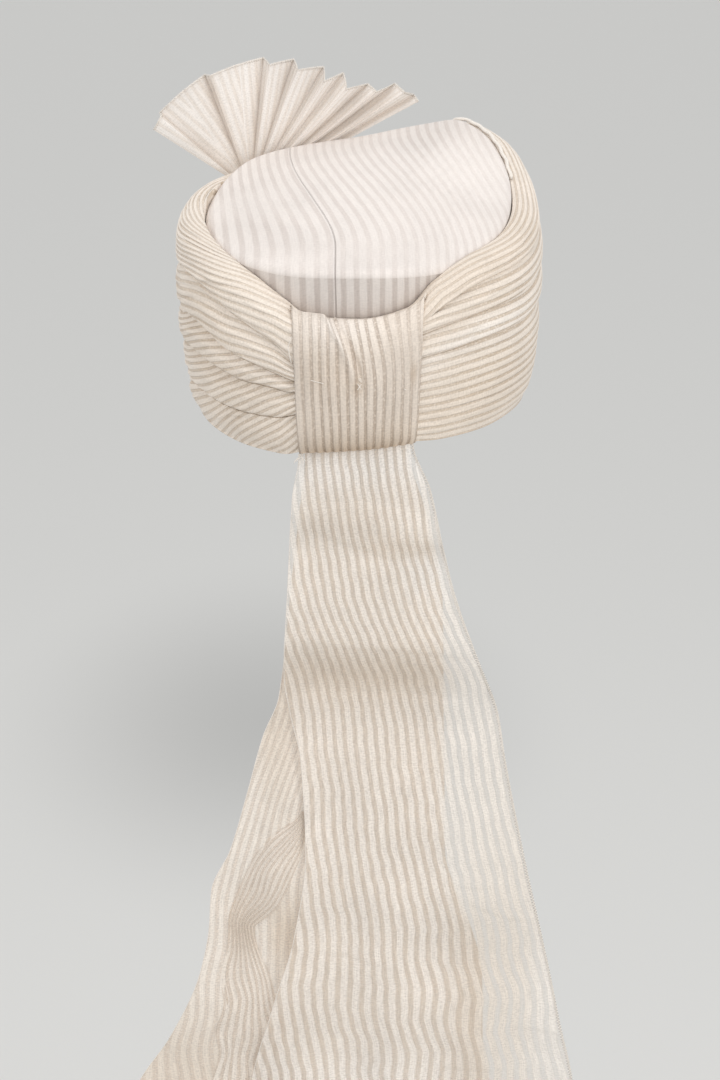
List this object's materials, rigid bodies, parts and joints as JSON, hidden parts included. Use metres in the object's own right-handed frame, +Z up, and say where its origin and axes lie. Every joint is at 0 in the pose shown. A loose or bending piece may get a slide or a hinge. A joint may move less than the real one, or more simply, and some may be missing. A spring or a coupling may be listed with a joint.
{
  "type": "tied turban pagri",
  "caption": "Ready-made striped organza turban with wound bands, a domed cap, a keeper loop, a long two-layer tail and a pleated fan.",
  "frame": {"origin": "centre of the head opening, level with the lowest edge of the wound cloth", "axes": "+Z up, +Y to the back of the head where the keeper loop and tail are, +X to the wearer's left"},
  "size_m": [0.2662, 0.2558, 0.5934],
  "materials": {
    "crown_cloth": "striped organza stretched over a cap, soft sheen",
    "band_cloth": "striped organza wound in many layers, satin stripes",
    "sheer_cloth": "sheer striped organza in one or two layers",
    "fan_cloth": "starched pleated organza with a scalloped thread edge"
  },
  "bodies": {
    "root": {"crown_cap": "crown_cloth", "wrap_band_1": "band_cloth", "wrap_band_2": "band_cloth", "wrap_band_3": "band_cloth", "wrap_band_4": "band_cloth", "wrap_band_5": "band_cloth", "back_loop": "band_cloth", "tail_outer_panel": "sheer_cloth", "tail_inner_panel": "sheer_cloth", "turra_fan": "fan_cloth"}
  },
  "joints": []
}
